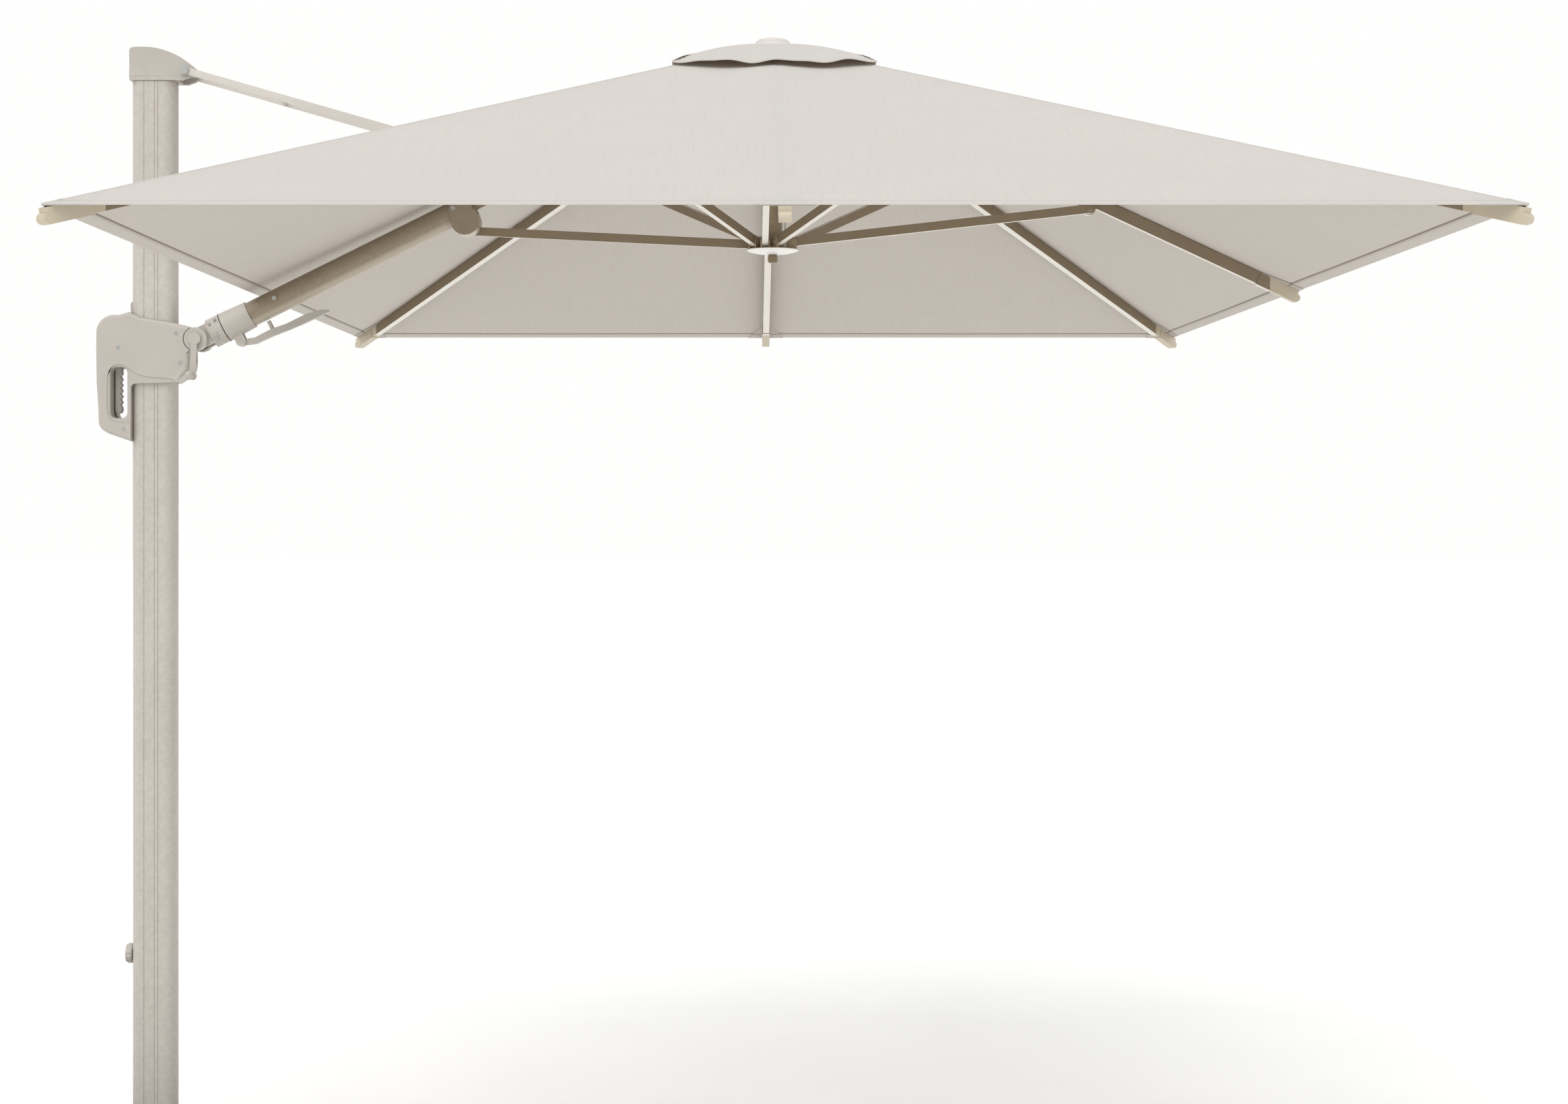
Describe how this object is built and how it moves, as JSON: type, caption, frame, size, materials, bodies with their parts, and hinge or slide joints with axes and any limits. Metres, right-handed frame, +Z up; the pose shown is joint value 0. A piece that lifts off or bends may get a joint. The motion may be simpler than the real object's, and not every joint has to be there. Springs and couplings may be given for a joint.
{
  "type": "cantilever parasol",
  "caption": "Side-post parasol with a rectangular canopy on a rising arm, a sliding carriage, a crank and a weighted base; the whole frame folds down along the mast.",
  "frame": {"origin": "on the mast axis at floor level", "axes": "+Z up, +X from the mast along the arm towards the canopy, Y across the arm"},
  "size_m": [3.3337, 3.5168, 2.849],
  "materials": {
    "fabric": "woven solution-dyed canopy cloth, matt, sand",
    "shell_plastic": "moulded, fine texture, warm grey",
    "mast_metal": "powder-coated, satin, warm grey",
    "frame_metal": "powder-coated, satin, light",
    "hub_plastic": "moulded, smooth, off-white",
    "dark_plastic": "moulded, dark grey",
    "dark_metal": "powder-coated, dark grey",
    "steel": "plated fasteners",
    "rubber": "moulded rubber",
    "bronze_plastic": "moulded, brown"
  },
  "bodies": {
    "base": {"base_cross": "dark_metal", "ballast_tanks": "dark_plastic", "tank_caps": "dark_plastic", "rubber_feet": "rubber", "foot_flange": "dark_metal", "foot_bush": "dark_plastic", "flange_bolts": "steel", "pedal_pin": "steel"},
    "mast": {"mast_tube": "mast_metal", "mast_foot": "dark_metal", "top_cap": "shell_plastic", "strut_pin": "steel", "stop_block": "shell_plastic"},
    "pedal": {"swivel_pedal": "dark_plastic"},
    "mast_knob": {"mast_knob": "shell_plastic"},
    "strut": {"strut_bars": "mast_metal"},
    "carriage": {"shell_front": "shell_plastic", "shell_back": "shell_plastic", "carriage_core": "shell_plastic", "glide_pads": "dark_plastic", "shell_screws": "steel"},
    "trigger": {"grip_trigger": "shell_plastic"},
    "brake": {"brake_pad": "rubber"},
    "crank": {"crank_arm": "shell_plastic", "winch_drum": "dark_plastic"},
    "crank_grip": {"crank_grip": "shell_plastic"},
    "knuckle": {"knuckle_housing": "shell_plastic", "knuckle_screws": "steel", "roll_bush": "dark_plastic"},
    "arm": {"arm_socket": "shell_plastic", "arm_tube": "mast_metal", "arm_end_bracket": "shell_plastic", "arm_rivets": "steel", "arm_spine": "frame_metal"},
    "lever": {"tilt_lever": "shell_plastic"},
    "collar": {"strut_collar": "shell_plastic"},
    "crown": {"crown_hub": "shell_plastic", "crown_pins": "steel", "finial": "shell_plastic", "vent_canopy": "fabric", "canopy_fabric": "fabric"},
    "runner": {"runner_hub": "hub_plastic", "runner_tube": "frame_metal", "runner_button": "bronze_plastic", "cord_ball": "hub_plastic"},
    "rib_right": {"rib_right": "frame_metal"},
    "rib_near": {"rib_near": "frame_metal"},
    "rib_far": {"rib_far": "frame_metal"},
    "rib_near_right": {"rib_near_right": "frame_metal"},
    "rib_far_right": {"rib_far_right": "frame_metal"},
    "rib_near_left": {"rib_near_left": "frame_metal"},
    "rib_far_left": {"rib_far_left": "frame_metal"},
    "stretcher_left": {"stretcher_left": "frame_metal"},
    "stretcher_right": {"stretcher_right": "frame_metal"},
    "stretcher_near": {"stretcher_near": "frame_metal"},
    "stretcher_far": {"stretcher_far": "frame_metal"},
    "stretcher_near_right": {"stretcher_near_right": "frame_metal"},
    "stretcher_far_right": {"stretcher_far_right": "frame_metal"},
    "stretcher_near_left": {"stretcher_near_left": "frame_metal"},
    "stretcher_far_left": {"stretcher_far_left": "frame_metal"}
  },
  "joints": [
    {"name": "mast_swivel", "type": "hinge", "parent": "base", "child": "mast", "pos_m": [0, 0, 0], "axis": [0, 0, 1], "continuous": true},
    {"name": "pedal_press", "type": "hinge", "parent": "base", "child": "pedal", "pos_m": [0.125, 0, 0.098], "axis": [0, 1, 0], "range_deg": [0, 8]},
    {"name": "mast_knob_turn", "type": "hinge", "parent": "mast", "child": "mast_knob", "pos_m": [0, 0, 0.593], "axis": [1, 0, 0], "continuous": true},
    {"name": "carriage_slide", "type": "slide", "parent": "mast", "child": "carriage", "axis": [0, 0, 1], "range_m": [-1.05, 0], "deforming": ["canopy_fabric", "vent_canopy"]},
    {"name": "knuckle_fold", "type": "hinge", "parent": "carriage", "child": "knuckle", "pos_m": [0.1079, 0, 2.1057], "axis": [0, -1, 0], "range_deg": [-0.5, 58.1]},
    {"name": "strut_fold", "type": "hinge", "parent": "mast", "child": "strut", "pos_m": [0.0814, 0, 2.764], "axis": [0, 1, 0], "range_deg": [-0.5, 69.25]},
    {"name": "arm_roll", "type": "hinge", "parent": "knuckle", "child": "arm", "pos_m": [0.1079, 0, 2.1057], "axis": [0.8959, 0, 0.4442], "range_deg": [-20, 20]},
    {"name": "collar_roll", "type": "hinge", "parent": "arm", "child": "collar", "pos_m": [0.1079, 0, 2.1057], "axis": [0.8959, 0, 0.4442], "range_deg": [-20.5, 20.5]},
    {"name": "lever_swing", "type": "hinge", "parent": "arm", "child": "lever", "pos_m": [0.21244, 0, 2.1015], "axis": [0, 1, 0], "range_deg": [0, 55]},
    {"name": "trigger_squeeze", "type": "hinge", "parent": "carriage", "child": "trigger", "pos_m": [-0.0885, 0, 2.046], "axis": [0, 1, 0], "range_deg": [0, 5]},
    {"name": "brake_release", "type": "slide", "parent": "carriage", "child": "brake", "axis": [-1, 0, 0], "range_m": [-0.0001, 0.0031]},
    {"name": "crank_turn", "type": "hinge", "parent": "carriage", "child": "crank", "pos_m": [0.1079, 0, 2.1057], "axis": [0, 1, 0], "range_deg": [-1, 2881]},
    {"name": "grip_spin", "type": "hinge", "parent": "crank", "child": "crank_grip", "pos_m": [0.1039, 0, 2.0137], "axis": [0, 1, 0], "continuous": true},
    {"name": "crown_fold", "type": "hinge", "parent": "arm", "child": "crown", "pos_m": [1.4833, 0, 2.78756], "axis": [0, 1, 0], "range_deg": [-0.5, 54.22]},
    {"name": "runner_drop", "type": "slide", "parent": "crown", "child": "runner", "axis": [0, 0, -1], "range_m": [-0.001, 1.068]},
    {"name": "rib_right_fold", "type": "hinge", "parent": "crown", "child": "rib_right", "pos_m": [1.5633, 0, 2.797], "axis": [0, 1, 0], "range_deg": [-0.5, 50.39]},
    {"name": "stretcher_right_fold", "type": "hinge", "parent": "runner", "child": "stretcher_right", "pos_m": [1.5703, -0.019, 2.345], "axis": [0, -1, 0], "range_deg": [-0.5, 69.43]},
    {"name": "rib_near_fold", "type": "hinge", "parent": "crown", "child": "rib_near", "pos_m": [1.5233, -0.04, 2.797], "axis": [1, 0, 0], "range_deg": [-0.5, 58.58]},
    {"name": "stretcher_near_fold", "type": "hinge", "parent": "runner", "child": "stretcher_near", "pos_m": [1.5043, -0.047, 2.345], "axis": [-1, 0, 0], "range_deg": [-0.5, 64.26]},
    {"name": "rib_far_fold", "type": "hinge", "parent": "crown", "child": "rib_far", "pos_m": [1.5233, 0.04, 2.797], "axis": [-1, 0, 0], "range_deg": [-0.5, 58.58]},
    {"name": "stretcher_far_fold", "type": "hinge", "parent": "runner", "child": "stretcher_far", "pos_m": [1.5423, 0.047, 2.345], "axis": [1, 0, 0], "range_deg": [-0.5, 64.26]},
    {"name": "rib_near_right_fold", "type": "hinge", "parent": "crown", "child": "rib_near_right", "pos_m": [1.54715, -0.03211, 2.797], "axis": [0.8027, 0.5963, 0], "range_deg": [-0.5, 66.67]},
    {"name": "stretcher_near_right_fold", "type": "hinge", "parent": "runner", "child": "stretcher_near_right", "pos_m": [1.53608, -0.04906, 2.345], "axis": [-0.8027, -0.5963, 0], "range_deg": [-0.5, 63.7]},
    {"name": "rib_far_right_fold", "type": "hinge", "parent": "crown", "child": "rib_far_right", "pos_m": [1.54715, 0.03211, 2.797], "axis": [-0.8027, 0.5963, 0], "range_deg": [-0.5, 66.67]},
    {"name": "stretcher_far_right_fold", "type": "hinge", "parent": "runner", "child": "stretcher_far_right", "pos_m": [1.56658, 0.0264, 2.345], "axis": [0.8027, -0.5963, 0], "range_deg": [-0.5, 63.7]},
    {"name": "rib_near_left_fold", "type": "hinge", "parent": "crown", "child": "rib_near_left", "pos_m": [1.49945, -0.03211, 2.797], "axis": [0.8027, -0.5963, 0], "range_deg": [-0.5, 66.67]},
    {"name": "stretcher_near_left_fold", "type": "hinge", "parent": "runner", "child": "stretcher_near_left", "pos_m": [1.48002, -0.0264, 2.345], "axis": [-0.8027, 0.5963, 0], "range_deg": [-0.5, 63.7]},
    {"name": "rib_far_left_fold", "type": "hinge", "parent": "crown", "child": "rib_far_left", "pos_m": [1.49945, 0.03211, 2.797], "axis": [-0.8027, -0.5963, 0], "range_deg": [-0.5, 66.67]},
    {"name": "stretcher_far_left_fold", "type": "hinge", "parent": "runner", "child": "stretcher_far_left", "pos_m": [1.51052, 0.04906, 2.345], "axis": [0.8027, 0.5963, 0], "range_deg": [-0.5, 63.7]},
    {"name": "stretcher_left_fold", "type": "hinge", "parent": "runner", "child": "stretcher_left", "pos_m": [1.4763, 0.0355, 2.345], "axis": [0, 1, 0], "range_deg": [-0.5, 81.12]}
  ],
  "couplings": [
    {"joint": "knuckle_fold", "follows": "carriage_slide", "rad_per_m": -0.95742},
    {"joint": "strut_fold", "follows": "carriage_slide", "rad_per_m": -1.1428},
    {"joint": "collar_roll", "follows": "arm_roll", "ratio": -1},
    {"joint": "brake_release", "follows": "trigger_squeeze", "m_per_rad": 0.034377},
    {"joint": "crank_turn", "follows": "carriage_slide", "rad_per_m": -47.872},
    {"joint": "crown_fold", "follows": "carriage_slide", "rad_per_m": -0.89291},
    {"joint": "runner_drop", "follows": "carriage_slide", "ratio": -1.0162},
    {"joint": "rib_right_fold", "follows": "carriage_slide", "rad_per_m": -0.82927},
    {"joint": "stretcher_right_fold", "follows": "carriage_slide", "rad_per_m": -1.1458},
    {"joint": "rib_near_fold", "follows": "carriage_slide", "rad_per_m": -0.9654},
    {"joint": "stretcher_near_fold", "follows": "carriage_slide", "rad_per_m": -1.0598},
    {"joint": "rib_far_fold", "follows": "carriage_slide", "rad_per_m": -0.9654},
    {"joint": "stretcher_far_fold", "follows": "carriage_slide", "rad_per_m": -1.0598},
    {"joint": "rib_near_right_fold", "follows": "carriage_slide", "rad_per_m": -1.0999},
    {"joint": "stretcher_near_right_fold", "follows": "carriage_slide", "rad_per_m": -1.0505},
    {"joint": "rib_far_right_fold", "follows": "carriage_slide", "rad_per_m": -1.0999},
    {"joint": "stretcher_far_right_fold", "follows": "carriage_slide", "rad_per_m": -1.0505},
    {"joint": "rib_near_left_fold", "follows": "carriage_slide", "rad_per_m": -1.0999},
    {"joint": "stretcher_near_left_fold", "follows": "carriage_slide", "rad_per_m": -1.0505},
    {"joint": "rib_far_left_fold", "follows": "carriage_slide", "rad_per_m": -1.0999},
    {"joint": "stretcher_far_left_fold", "follows": "carriage_slide", "rad_per_m": -1.0505},
    {"joint": "stretcher_left_fold", "follows": "carriage_slide", "rad_per_m": -1.3401}
  ]
}
